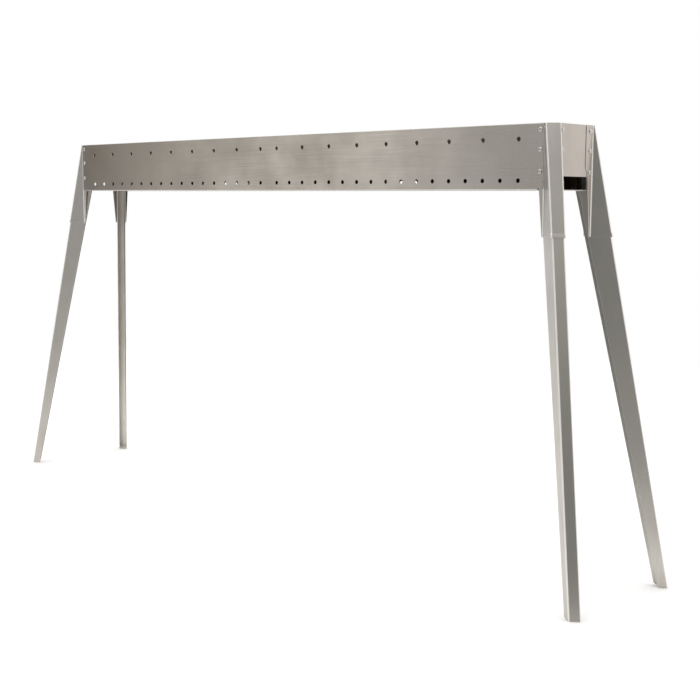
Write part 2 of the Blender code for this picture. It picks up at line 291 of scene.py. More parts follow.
def coat(
    piece: bpy.types.Object,
    finish: bpy.types.Material,
    picks: Callable[[bpy.types.MeshPolygon], bool],
) -> None:
    """Give one more finish to some faces of a piece.

    Args:
        piece: A sheet piece that already has its outer finish.
        finish: The finish to add.
        picks: Tells whether a face gets it.
    """
    piece.data.materials.append(finish)
    last = len(piece.data.materials) - 1
    for face in piece.data.polygons:
        if picks(face):
            face.material_index = last


def looks_inward(face: bpy.types.MeshPolygon, *axes: int) -> bool:
    """Tell whether a face looks back at the middle of the grill along each of the axes."""
    return all(face.normal[axis] * face.center[axis] < -INWARD for axis in axes)


def dress_inside(
    piece: bpy.types.Object, finish: bpy.types.Material, axis: int, floor_too: bool = False
) -> None:
    """Give the smoked finish to the faces that look at the fire.

    Args:
        piece: A sheet piece that already has its outer finish.
        finish: The finish of its inner faces.
        axis: 0 for an end plate and 1 for the long panels.
        floor_too: Whether faces that look up are smoked as well.
    """
    upward = 0.7

    def inside(face: bpy.types.MeshPolygon) -> bool:
        """Tell whether a face looks at the fire."""
        return looks_inward(face, axis) or (floor_too and face.normal.z > upward)

    coat(piece, finish, inside)


def dress_channel(piece: bpy.types.Object, finish: bpy.types.Material) -> None:
    """Give the paler finish, painted light that lifts their shade, to the faces of a corner piece
    that look back at the trough.
    """
    coat(piece, finish, lambda face: looks_inward(face, 0, 1))


def paint_highlight_on_narrow_faces(
    piece: bpy.types.Object, finish: bpy.types.Material, width: float = 0.0011
) -> None:
    """Paint a highlight on the bends and the cut edges with a pale, rough finish.

    Args:
        piece: A sheet piece that already has its outer finish.
        finish: The pale finish that paints the highlight on its narrow faces.
        width: How narrow such a face is.
    """

    def narrow(face: bpy.types.MeshPolygon) -> bool:
        """Tell whether a face is a narrow strip."""
        corners = [piece.data.vertices[index].co for index in face.vertices]
        longest = max((a - b).length for a, b in zip(corners, corners[1:] + corners[:1]))
        return face.area < width * longest

    coat(piece, finish, narrow)


# --- Finishes --------------------------------------------------------------------------------


def srgb(code: str) -> tuple[float, float, float, float]:
    """Turn an sRGB hex colour into linear red, green, blue and alpha."""
    parts = [int(code.lstrip("#")[at : at + 2], 16) / 255 for at in (0, 2, 4)]
    linear = [
        part / 12.92 if part <= 0.04045 else ((part + 0.055) / 1.055) ** 2.4 for part in parts
    ]
    return linear[0], linear[1], linear[2], 1.0


def add_node(
    tree: bpy.types.NodeTree,
    kind: str,
    settings: dict[str, object] | None = None,
    links: dict[str | int, bpy.types.NodeSocket] | None = None,
    values: dict[str | int, object] | None = None,
) -> bpy.types.Node:
    """Add a node with its settings, input values and links.

    Args:
        tree: The material's or world's node tree.
        kind: The node's type.
        settings: Properties of the node.
        links: Input sockets and the outputs that feed them.
        values: Input sockets and their constants.

    Returns:
        The new node.
    """
    node = tree.nodes.new(kind)
    for key, value in (settings or {}).items():
        setattr(node, key, value)
    for key, value in (values or {}).items():
        node.inputs[key].default_value = value
    for key, output in (links or {}).items():
        tree.links.new(output, node.inputs[key])
    return node


class Grain(Enum):
    """Which way the mill's rolling lines run on a piece, as a unit direction."""

    ALONG_X = (1.0, 0.0, 0.0)
    ALONG_Z = (0.0, 0.0, 1.0)


@dataclass(frozen=True)
class RolledStainless:
    """Cold-rolled 304 stainless sheet with a fine rolled grain, as it leaves the shear.

    A grey metal with a faint warm tint, satin across the grain and a little clearer along it.
    """

    name: str
    colour: str = "#C9C5BF"
    shade: str = "#B4AFA8"
    roughness: float = 0.30
    grain: Grain = Grain.ALONG_X
    line_mm: float = 1.6       # real lines are about 0.1 mm: drawn coarser, so that they show
    line_length_mm: float = 160.0
    bump_mm: float = 0.008
    sway_mm: float = 0.30      # how far thin sheet strays from flat, over a hand's width
    heat: str | None = None    # straw tint that use leaves near the fire

    def build(self) -> bpy.types.Material:
        """Return the material."""
        material = bpy.data.materials.new(self.name)
        material.use_nodes = True
        tree = material.node_tree
        shader = tree.nodes["Principled BSDF"]
        shader.inputs["Metallic"].default_value = 1.0
        place = add_node(tree, "ShaderNodeTexCoord").outputs["Object"]
        fine = 1000.0 / self.line_mm
        slow = 1000.0 / self.line_length_mm
        scale = tuple(slow if part else fine for part in self.grain.value)
        stretched = add_node(
            tree, "ShaderNodeMapping", links={"Vector": place}, values={"Scale": scale}
        ).outputs["Vector"]
        lines = add_node(
            tree,
            "ShaderNodeTexNoise",
            links={"Vector": stretched},
            values={"Scale": 1.0, "Detail": 3.0, "Roughness": 0.6},
        ).outputs["Fac"]
        patches = add_node(
            tree,
            "ShaderNodeTexNoise",
            links={"Vector": place},
            values={"Scale": 7.0, "Detail": 3.0, "Roughness": 0.55},
        ).outputs["Fac"]
        tone = add_node(
            tree, "ShaderNodeMath", {"operation": "MULTIPLY_ADD"}, {0: lines, 2: patches}, {1: 0.4}
        ).outputs["Value"]
        share = add_node(
            tree, "ShaderNodeMapRange", None, {"Value": tone}, {"From Min": 0.45, "From Max": 0.95}
        ).outputs["Result"]
        colour = add_node(
            tree,
            "ShaderNodeMix",
            {"data_type": "RGBA"},
            {0: share},
            {MIX_A: srgb(self.colour), MIX_B: srgb(self.shade)},
        ).outputs[MIX_RESULT]
        if self.heat:
            colour = self.tint_by_heat(tree, place, colour)
        rough = add_node(
            tree,
            "ShaderNodeMapRange",
            links={"Value": tone},
            values={
                "From Min": 0.35,
                "From Max": 1.05,
                "To Min": self.roughness - 0.06,
                "To Max": self.roughness + 0.08,
            },
        ).outputs["Result"]
        sway = add_node(
            tree,
            "ShaderNodeTexNoise",
            links={"Vector": place},
            values={"Scale": 5.0, "Detail": 1.0, "Roughness": 0.4},
        ).outputs["Fac"]
        wave = add_node(
            tree,
            "ShaderNodeBump",
            links={"Height": sway},
            values={"Strength": 1.0, "Distance": self.sway_mm / 1000},
        ).outputs["Normal"]
        bump = add_node(
            tree,
            "ShaderNodeBump",
            links={"Height": lines, "Normal": wave},
            values={"Strength": 1.0, "Distance": self.bump_mm / 1000},
        ).outputs["Normal"]
        tree.links.new(colour, shader.inputs["Base Color"])
        tree.links.new(rough, shader.inputs["Roughness"])
        tree.links.new(bump, shader.inputs["Normal"])
        return material

    def tint_by_heat(
        self, tree: bpy.types.NodeTree, place: bpy.types.NodeSocket, colour: bpy.types.NodeSocket
    ) -> bpy.types.NodeSocket:
        """Blend in the straw tint in soft patches.

        Args:
            tree: The material's node tree.
            place: Object coordinates.
            colour: The bare metal's colour.

        Returns:
            The tinted colour.
        """
        cloud = add_node(
            tree,
            "ShaderNodeTexNoise",
            links={"Vector": place},
            values={"Scale": 4.0, "Detail": 2.0, "Roughness": 0.5},
        ).outputs["Fac"]
        share = add_node(
            tree,
            "ShaderNodeMapRange",
            links={"Value": cloud},
            values={"From Min": 0.35, "From Max": 0.75, "To Max": 0.8},
        ).outputs["Result"]
        sockets = {0: share, MIX_A: colour}
        return add_node(
            tree, "ShaderNodeMix", {"data_type": "RGBA"}, sockets, {MIX_B: srgb(self.heat)}
        ).outputs[MIX_RESULT]


@dataclass(frozen=True)
class Card:
    """A soft card or flag of the studio tent, which the metal mirrors.

    Its angles are in degrees, and its reach is the angle over which it fades out.
    """

    azimuth: float
    elevation: float
    reach: float
    level: tuple[float, float, float]

    @property
    def way(self) -> tuple[float, float, float]:
        """Unit direction from the object to the card."""
        turn = math.radians(self.azimuth)
        rise = math.radians(self.elevation)
        return math.cos(turn) * math.cos(rise), math.sin(turn) * math.cos(rise), math.sin(rise)


@dataclass(frozen=True)
class Studio:
    """A pale floor, a soft tent of light and the camera."""

    floor_colour: str = "#F4F4F3"
    floor_radius: float = 2.3
    floor_centre: Point = (-0.75, 0.65)
    floor_drop: float = 0.0006
    camera_place: tuple[float, float, float] = (2.10655, -1.87141, 0.71798)
    yaw: float = 45.641
    pitch: float = 6.847
    roll: float = 0.426
    lens: float = 63.785
    lamp_place: tuple[float, float, float] = (-0.4, 0.2, 3.2)
    lamp_size: float = 4.0
    lamp_power: float = 30.0
    # The tent's grey from straight down to straight up: dim at the height of the eye.
    band: tuple[Point, ...] = (
        (0.000, 1.05),
        (0.330, 0.98),
        (0.430, 0.62),
        (0.500, 0.42),
        (0.580, 0.42),
        (0.640, 0.66),
        (0.700, 0.95),
        (0.800, 1.20),
        (1.000, 1.30),
    )
    cards: tuple[Card, ...] = (
        Card(55.0, 5.0, 75.0, (1.10, 1.04, 1.02)),
        Card(172.0, 0.0, 38.0, (1.00, 1.00, 1.02)),
        Card(-139.0, 3.0, 10.0, (1.30, 1.25, 1.18)),
        Card(-146.0, 3.0, 4.5, (0.70, 0.54, 0.34)),
        Card(-156.0, 3.0, 17.0, (0.00, 0.00, 0.00)),
        Card(-50.0, 9.0, 15.0, (0.06, 0.07, 0.05)),
        Card(-60.0, -7.0, 12.0, (0.00, 0.01, 0.00)),
    )

    def floor(self) -> None:
        """Lay the round floor."""
        deselect_all()
        bpy.ops.mesh.primitive_circle_add(
            vertices=96,
            radius=self.floor_radius,
            fill_type="NGON",
            location=(*self.floor_centre, -self.floor_drop),
        )
        ground = named("floor")
        settle(ground)
        material = bpy.data.materials.new("matt white studio paper")
        material.use_nodes = True
        shader = material.node_tree.nodes["Principled BSDF"]
        shader.inputs["Base Color"].default_value = srgb(self.floor_colour)
        shader.inputs["Roughness"].default_value = 0.9
        shader.inputs["Specular IOR Level"].default_value = 0.1
        ground.data.materials.append(material)

    def sky(self) -> None:
        """Light the tent: white to the eye, with cards and flags that the metal mirrors."""
        world = bpy.data.worlds.new("studio tent")
        bpy.context.scene.world = world
        world.use_nodes = True
        tree = world.node_tree
        tree.nodes.clear()
        way = add_node(tree, "ShaderNodeTexCoord").outputs["Generated"]
        height = add_node(tree, "ShaderNodeSeparateXYZ", links={0: way}).outputs["Z"]
        rise = add_node(
            tree, "ShaderNodeMapRange", None, {"Value": height}, {"From Min": -1.0, "From Max": 1.0}
        ).outputs["Result"]
        ramp = add_node(tree, "ShaderNodeValToRGB", links={"Fac": rise})
        self.set_greys(ramp, self.band)
        tent = ramp.outputs["Color"]
        for card in self.cards:
            aim = add_node(
                tree, "ShaderNodeVectorMath", {"operation": "DOT_PRODUCT"}, {0: way}, {1: card.way}
            ).outputs["Value"]
            share = add_node(
                tree,
                "ShaderNodeMapRange",
                {"interpolation_type": "SMOOTHSTEP"},
                {"Value": aim},
                {"From Min": math.cos(math.radians(card.reach)), "From Max": 1.0},
            ).outputs["Result"]
            tent = add_node(
                tree,
                "ShaderNodeMix",
                {"data_type": "RGBA"},
                {0: share, MIX_A: tent},
                {MIX_B: (*card.level, 1.0)},
            ).outputs[MIX_RESULT]
        seen = add_node(tree, "ShaderNodeLightPath").outputs["Is Camera Ray"]
        colour = add_node(
            tree,
            "ShaderNodeMix",
            {"data_type": "RGBA"},
            {0: seen, MIX_A: tent},
            {MIX_B: (1.0, 1.0, 1.0, 1.0)},
        ).outputs[MIX_RESULT]
        light = add_node(
            tree, "ShaderNodeBackground", links={"Color": colour}, values={"Strength": 1.0}
        ).outputs["Background"]
        add_node(tree, "ShaderNodeOutputWorld", links={"Surface": light})

    @staticmethod
    def set_greys(ramp: bpy.types.Node, stops: Sequence[Point]) -> None:
        """Set a colour ramp's stops, each a place and a grey level."""
        elements = ramp.color_ramp.elements
        while len(elements) < len(stops):
            elements.new(1.0)
        for element, (place, level) in zip(elements, stops):
            element.position = place
            element.color = (level, level, level, 1.0)

    def lamp(self) -> None:
        """Hang the overhead soft box, facing the middle of the floor."""
        light = bpy.data.lights.new("overhead soft box", "AREA")
        light.shape = "DISK"
        light.size = self.lamp_size
        light.energy = self.lamp_power
        lamp = bpy.data.objects.new("overhead soft box", light)
        lamp.location = self.lamp_place
        lamp.rotation_euler = (-Vector(self.lamp_place)).to_track_quat("-Z", "Y").to_euler()
        bpy.context.scene.collection.objects.link(lamp)

    def camera(self) -> None:
        """Stand the camera before the front right corner."""
        yaw, pitch, roll = (math.radians(angle) for angle in (self.yaw, self.pitch, self.roll))
        data = bpy.data.cameras.new("camera")
        data.sensor_fit = "HORIZONTAL"
        data.sensor_width = 36.0
        data.lens = self.lens
        view = bpy.data.objects.new("camera", data)
        turn = Matrix.Rotation(yaw, 4, "Z") @ Matrix.Rotation(math.pi / 2 - pitch, 4, "X")
        turn = turn @ Matrix.Rotation(roll, 4, "Z")
        view.matrix_world = Matrix.Translation(self.camera_place) @ turn
        bpy.context.scene.collection.objects.link(view)
        bpy.context.scene.camera = view

    def build(self) -> None:
        """Set up the whole studio."""
        bpy.context.scene.view_settings.view_transform = "Standard"
        self.floor()
        self.sky()
        self.lamp()
        self.camera()


# --- The grill -------------------------------------------------------------------------------


@dataclass(frozen=True)
class Gauge:
    """Sizes that all the sheet pieces share, in metres."""

    sheet: float = 0.0010
    gap: float = 0.0003        # air between pieces that are riveted together
    leg_fit: float = 0.0004    # air round a leg in its socket
    length: float = 1.500      # of a long panel
    width: float = 0.136       # over both long panels, at the rim
    draft: float = 0.0008      # how far a long panel leans in, down to its fold
    depth: float = 0.1186
    rim: float = 0.8586        # height over the floor
    hem: float = 0.0060
    hem_throat: float = 0.0004
    fold: float = 0.0016
    overhang: float = 0.0215   # of an end plate past the long panels
    end_inset: float = 0.0185  # of an end plate's sides from the long panels
    end_slot: float = 0.0247   # height of the ash slot under an end plate
    rivet_drops: tuple[float, ...] = (0.0113, 0.0468, 0.0858)  # below the rim
    rivet_inset: float = 0.0070

    @property
    def panel_end(self) -> float:
        """Half the length of a long panel."""
        return self.length / 2

    @property
    def floor_z(self) -> float:
        """Height of the trough's underside."""
        return self.rim - self.depth

    @property
    def end_face(self) -> float:
        """Outer face of an end plate."""
        return self.panel_end + self.overhang

    @property
    def end_half(self) -> float:
        """Half the width of an end plate."""
        return self.width / 2 - self.end_inset

    @property
    def end_foot(self) -> float:
        """Lower edge of an end plate."""
        return self.floor_z + self.end_slot

    def panel_face(self, z: float) -> float:
        """Return the outer half-width of the trough at a height."""
        return self.width / 2 - self.draft * (self.rim - z) / self.depth

    def hem_points(self, face: float, steps: int = 8) -> list[Point]:
        """Return a rim hem's middle line, from the outer wall over to its free edge inside."""
        radius = (self.sheet + self.hem_throat) / 2
        centre = face - self.sheet / 2 - radius
        crown = self.rim - self.sheet / 2 - radius
        over = arc((centre, crown), radius, 0, 180, steps)
        return over + [(centre - radius, self.rim - self.hem)]


class Side(Enum):
    """The four corners, as the signs of X and Y, named as their bodies are."""

    front_left = (-1, -1)
    front_right = (1, -1)
    back_left = (-1, 1)
    back_right = (1, 1)


def fit_out(
    piece: bpy.types.Object, finish: bpy.types.Material, body: str, slot: str, *nodes: str
) -> bpy.types.Object:
    """Dress a finished piece and set it on its CAD body.

    Args:
        piece: The finished piece.
        finish: Its material.
        body: The body it rides on.
        slot: The record's material slot; not used.
        nodes: The CAD nodes it stands for.

    Returns:
        The piece.
    """
    piece.data.materials.clear()
    piece.data.materials.append(finish)
    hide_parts(*nodes)
    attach(piece, body)
    log.info("%s: %d faces on body %s", piece.name, len(piece.data.polygons), body)
    return piece


def break_edges(piece: bpy.types.Object, width: float = 0.00018, sharp: float = 55.0) -> None:
    """Take the arris off a sheet's cut edges, sharper than an angle in degrees."""
    apply(
        piece,
        "BEVEL",
        width=width,
        segments=1,
        limit_method="ANGLE",
        angle_limit=math.radians(sharp),
        use_clamp_overlap=True,
    )


@dataclass
class Trough:
    """The fire trough: front, floor and back in one fold, with hemmed rims and air holes.

    Its holes stand in rows that mirror about the middle, and drops are below the rim.
    """

    gauge: Gauge
    inside: bpy.types.Material
    hole_margin: float = 0.0560
    hole_corners: int = 32
    centre_gap: float = 0.0545
    upper_drop: float = 0.0272
    lower_drop: float = 0.1016
    upper_hole: float = 0.0090
    lower_hole: float = 0.0085
    upper_half: int = 9
    lower_half: int = 17
    flange_x: float = 0.7373   # where the floor's notch for a socket's flange begins
    finish: RolledStainless = RolledStainless(
        "rolled 304 stainless trough", roughness=0.23, bump_mm=0.004
    )

    def outline(self) -> list[Point]:
        """Return the cross-section's middle line from one hem to the other."""
        gauge = self.gauge
        side = gauge.hem_points(gauge.width / 2)[::-1]
        low = gauge.floor_z + gauge.sheet / 2
        fold_y = gauge.width / 2 - gauge.draft - gauge.sheet / 2
        side += arc((fold_y - gauge.fold, low + gauge.fold), gauge.fold, 0, -90, 6)
        return side + [(-y, z) for y, z in reversed(side)]

    def punch_air_holes(self, piece: bpy.types.Object) -> None:
        """Punch both rows of air holes through front and back."""
        gauge = self.gauge
        through = gauge.width + 0.02
        first = self.centre_gap / 2
        last = gauge.panel_end - self.hole_margin
        for tag, count, drop, size in (
            ("upper", self.upper_half, self.upper_drop, self.upper_hole),
            ("lower", self.lower_half, self.lower_drop, self.lower_hole),
        ):
            punch = Punch(size, through, self.hole_corners, tilt=90.0)
            step = (last - first) / (count - 1)
            for way in (-1, 1):
                place = (way * first, 0.0, gauge.rim - drop)
                cut_away(piece, punch.row(f"{tag} punches {way}", place, count, way * step))

    def clear_corner(self, piece: bpy.types.Object, side: Side) -> None:
        """Chamfer one floor corner and notch it for the socket's flange."""
        gauge = self.gauge
        sx, sy = side.value
        flange_y = gauge.panel_face(gauge.floor_z) - 2 * gauge.sheet - 3 * gauge.gap
        tongue_y = gauge.end_half - gauge.gap
        reach = gauge.end_face + gauge.overhang
        outline = (
            (gauge.panel_end, gauge.width),
            (gauge.panel_end, flange_y),
            (gauge.end_face, tongue_y),
            (reach, tongue_y),
            (reach, gauge.width),
        )
        deselect_all()
        bpy.ops.mesh.primitive_circle_add(vertices=len(outline), fill_type="NGON")
        cutter = named(f"corner shear {side.name}")
        bpy.ops.object.mode_set(mode="EDIT")
        mesh = bmesh.from_edit_mesh(cutter.data)
        mesh.verts.ensure_lookup_table()
        for vert, (x, y) in zip(mesh.verts, outline):
            vert.co = (sx * x, sy * y, gauge.floor_z - gauge.sheet)
        bmesh.update_edit_mesh(cutter.data)
        bpy.ops.mesh.select_all(action="SELECT")
        up = gauge.depth + 2 * gauge.sheet
        bpy.ops.mesh.extrude_region_move(TRANSFORM_OT_translate={"value": (0.0, 0.0, up)})
        bpy.ops.mesh.select_all(action="SELECT")
        bpy.ops.mesh.normals_make_consistent(inside=False)
        bpy.ops.object.mode_set(mode="OBJECT")
        cut_away(piece, cutter)
        fold_top = gauge.floor_z + gauge.sheet / 2 + gauge.fold
        low = Vector((sx * self.flange_x, sy * flange_y, gauge.floor_z - gauge.sheet))
        high = Vector((sx * reach, sy * gauge.width, fold_top))
        cut_box(piece, f"flange notch {side.name}", low, high)

    def build(self) -> bpy.types.Object:
        """Return the finished trough."""
        gauge = self.gauge
        outline = self.outline()
        end = gauge.end_face - gauge.gap
        stations = [-end, -gauge.panel_end, gauge.panel_end, end]
        rows = [[Vector((x, y, z)) for y, z in outline] for x in stations]
        piece = folded_sheet("fire_trough", rows, gauge.sheet)
        for side in Side:
            self.clear_corner(piece, side)
        self.punch_air_holes(piece)
        smooth(piece)
        fit_out(piece, self.finish.build(), "trough", "trough_steel", "trough_body")
        dress_inside(piece, self.inside, 1, floor_too=True)
        return piece


@dataclass
class EndPlate:
    """An end plate with a hemmed rim, hung between two sockets over the ash slot."""

    gauge: Gauge
    side: str
    way: int
    finish: bpy.types.Material
    inside: bpy.types.Material

    def build(self) -> bpy.types.Object:
        """Return the finished end plate."""
        gauge = self.gauge
        line = [(gauge.end_face - gauge.sheet / 2, gauge.end_foot)]
        line += gauge.hem_points(gauge.end_face)
        sides = (-gauge.end_half, gauge.end_half)
        rows = [[Vector((self.way * x, y, z)) for x, z in line] for y in sides]
        piece = folded_sheet(f"end_{self.side}", rows, gauge.sheet)
        break_edges(piece)
        smooth(piece)
        fit_out(piece, self.finish, "trough", "end_plate_steel", f"end_plate_{self.side}")
        dress_inside(piece, self.inside, 0)
        return piece


@dataclass
class CornerPlan:
    """Plan of a corner's socket and leg, for the corner at +X +Y."""

    gauge: Gauge
    socket_depth: float = 0.2027
    fold_stub: float = 0.0030     # of a side wall at the rim
    mouth_step: float = 0.0006    # the mouth's lip stands out by this
    mouth_lip: float = 0.0070
    mouth_joggle: float = 0.0012
    flange_top: float = 0.0200    # widths of a riveted flange, from the rim down to the mouth
    flange_throat: float = 0.0130
    flange_flare: float = 0.0200
    flange_foot: float = 0.0030
    flange_drop: float = 0.0014   # air between the panel's hem and the flange
    foot_x: float = 0.9020        # where the web's outer face meets the floor
    foot_y: float = 0.1457
    leg_width: float = 0.0225
    wall_mouth: float = 0.0425    # depth of a leg's side walls at the mouth, and at the foot
    wall_foot: float = 0.0186
    along: Vector = field(init=False)
    out: Vector = field(init=False)
    slope: Vector = field(init=False)
    top: Vector = field(init=False)
    top_width: float = field(init=False)

    def __post_init__(self) -> None:
        """Work out the web's direction and lean from the corner's own sizes."""
        gauge = self.gauge
        lean = Vector((self.foot_x - gauge.panel_end, self.foot_y - gauge.width / 2)).normalized()
        top_a = self.panel_fold(gauge.rim) + lean * self.fold_stub
        top_b = self.end_fold() + lean * self.fold_stub
        self.along = (top_b - top_a).normalized()
        self.out = Vector((-self.along.y, self.along.x))
        self.top_width = (top_b - top_a).length
        self.top = (top_a + top_b) / 2
        foot = Vector((self.foot_x, self.foot_y)) + self.out * (gauge.sheet / 2 + self.leg_fit)
        self.slope = (foot - self.top) / gauge.rim

    @property
    def leg_fit(self) -> float:
        """Air round a leg in its socket."""
        return self.gauge.leg_fit

    @property
    def mouth_z(self) -> float:
        """Height of the socket's mouth."""
        return self.gauge.rim - self.socket_depth

    def panel_fold(self, z: float) -> Vector:
        """Return where the panel flange turns into its side wall."""
        gauge = self.gauge
        x = gauge.panel_end + gauge.sheet + gauge.gap
        return Vector((x, gauge.panel_face(z) - 1.5 * gauge.sheet - gauge.gap))

    def end_fold(self) -> Vector:
        """Return where the end flange turns into its side wall."""
        gauge = self.gauge
        x = gauge.end_face + gauge.gap + gauge.sheet / 2
        return Vector((x, gauge.end_half + gauge.sheet / 2))

    def web_folds(self, z: float) -> tuple[Vector, Vector]:
        """Return the two folds of the socket's web at a height."""
        share = (self.gauge.rim - z) / self.socket_depth
        mouth = self.leg_width + self.gauge.sheet + 2 * self.leg_fit
        half = (self.top_width + (mouth - self.top_width) * share) / 2
        centre = self.top + self.slope * (self.gauge.rim - z)
        return centre - self.along * half, centre + self.along * half

    def flange_width(self, z: float) -> float:
        """Return a flange's width at a height."""
        foot = self.gauge.end_foot
        if z >= foot:
            share = min((z - foot) / self.flange_flare, 1.0)
            share = share * share * (3.0 - 2.0 * share)
            return self.flange_throat + (self.flange_top - self.flange_throat) * share
        share = (z - self.mouth_z) / (foot - self.mouth_z)
        return self.flange_foot + (self.flange_throat - self.flange_foot) * share

    def socket_section(self, z: float, step: float) -> list[Vector]:
        """Return the socket's plan outline at a height, with its lip's step outwards."""
        fold_a, fold_b = self.web_folds(z)
        panel_fold = self.panel_fold(z)
        end_fold = self.end_fold()
        width = self.flange_width(z)
        wide = self.along * step
        return [
            panel_fold - Vector((width, 0.0)),
            panel_fold,
            fold_a - wide + self.out * step,
            fold_b + wide + self.out * step,
            end_fold,
            end_fold - Vector((0.0, width)),
        ]

    def leg_section(self, z: float) -> list[Vector]:
        """Return the leg's plan outline at a height, from one free edge round to the other."""
        fold_a, fold_b = self.web_folds(self.mouth_z)
        wall_a = (self.panel_fold(self.mouth_z) - fold_a).normalized()
        wall_b = (self.end_fold() - fold_b).normalized()
        offset = self.gauge.sheet + self.leg_fit
        shift = self.slope * (self.mouth_z - z)
        inset_a = (self.along + wall_a) * (offset / abs(self.along.cross(wall_a)))
        inset_b = (wall_b - self.along) * (offset / abs(self.along.cross(wall_b)))
        length = self.wall_foot + (self.wall_mouth - self.wall_foot) * z / self.mouth_z
        return [
            fold_a + inset_a + wall_a * length + shift,
            fold_a + inset_a + shift,
            fold_b + inset_b + shift,
            fold_b + inset_b + wall_b * length + shift,
        ]

    @staticmethod
    def lift(points: Sequence[Vector], z: float, side: Side) -> list[Vector]:
        """Lift plan points to a height and mirror them into their corner."""
        sx, sy = side.value
        return [Vector((sx * point.x, sy * point.y, z)) for point in points]


@dataclass
class Socket:
    """A folded leg socket that bridges one chamfered corner."""

    plan: CornerPlan
    side: Side
    finish: bpy.types.Material
    inner: bpy.types.Material
    highlight_finish: bpy.types.Material
    bend: float = 0.0018
    flare_steps: int = 5

    def build(self) -> bpy.types.Object:
        """Return the finished socket."""
        plan = self.plan
        gauge = plan.gauge
        last = self.flare_steps
        flare = [plan.flange_flare * (last - step) / last for step in range(last + 1)]
        lip = plan.mouth_z + plan.mouth_lip
        levels = [(gauge.rim, 0.0)]
        levels += [(gauge.end_foot + up, 0.0) for up in flare]
        levels += [(lip + plan.mouth_joggle, 0.0)]
        levels += [(lip, plan.mouth_step), (plan.mouth_z, plan.mouth_step)]
        rows = [plan.lift(plan.socket_section(z, step), z, self.side) for z, step in levels]
        rows = [rounded(row, dict.fromkeys((1, 2, 3, 4), self.bend)) for row in rows]
        piece = folded_sheet(f"leg_socket_{self.side.name}", rows, gauge.sheet)
        self.relieve_hem(piece)
        break_edges(piece)
        smooth(piece)
        fit_out(piece, self.finish, "trough", "socket_steel", f"socket_{self.side.name}")
        # Painted light: a paler finish lifts the shade inside the channel.
        dress_channel(piece, self.inner)
        # Painted highlight on the bends and the cut edges.
        paint_highlight_on_narrow_faces(piece, self.highlight_finish)
        return piece

    def relieve_hem(self, piece: bpy.types.Object) -> None:
        """Cut the panel flange short of the panel's folded rim."""
        plan = self.plan
        gauge = plan.gauge
        sx, sy = self.side.value
        hem_foot = gauge.rim - gauge.hem - plan.flange_drop
        low = Vector((sx * (gauge.panel_end - plan.flange_top), 0.0, hem_foot))
        x = gauge.panel_end + gauge.gap
        high = Vector((sx * x, sy * gauge.width, gauge.rim + gauge.sheet))
        cut_box(piece, "hem relief", low, high)


@dataclass
class Leg:
    """A tapering channel leg, folded from one strip, with its foot's free corners rounded."""

    plan: CornerPlan
    side: Side
    finish: bpy.types.Material
    inner: bpy.types.Material
    highlight_finish: bpy.types.Material
    bend: float = 0.0019
    corner: float = 0.0055

    def round_foot(self, piece: bpy.types.Object) -> None:
        """Round the two free corners at the foot."""
        ends = self.plan.leg_section(0.0)
        corners = self.plan.lift((ends[0], ends[-1]), 0.0, self.side)
        near = 10 * TOUCH
        pick(piece, verts=lambda place: min((place - corner).length for corner in corners) < near)
        bpy.ops.mesh.bevel(offset=self.corner, segments=6, affect="VERTICES", clamp_overlap=True)

    def build(self) -> bpy.types.Object:
        """Return the finished leg."""
        plan = self.plan
        gauge = plan.gauge
        top = gauge.floor_z - gauge.gap
        rows = [plan.lift(plan.leg_section(z), z, self.side) for z in (top, 0.0)]
        rows = [rounded(row, dict.fromkeys((1, 2), self.bend)) for row in rows]
        piece = folded_sheet(f"channel_leg_{self.side.name}", rows, gauge.sheet, self.round_foot)
        break_edges(piece)
        smooth(piece)
        name = f"leg_{self.side.name}"
        fit_out(piece, self.finish, name, "leg_steel", name)
        # Painted light: a paler finish lifts the shade inside the channel.
        dress_channel(piece, self.inner)
        # Painted highlight on the bends and the cut edges.
        paint_highlight_on_narrow_faces(piece, self.highlight_finish)
        return piece


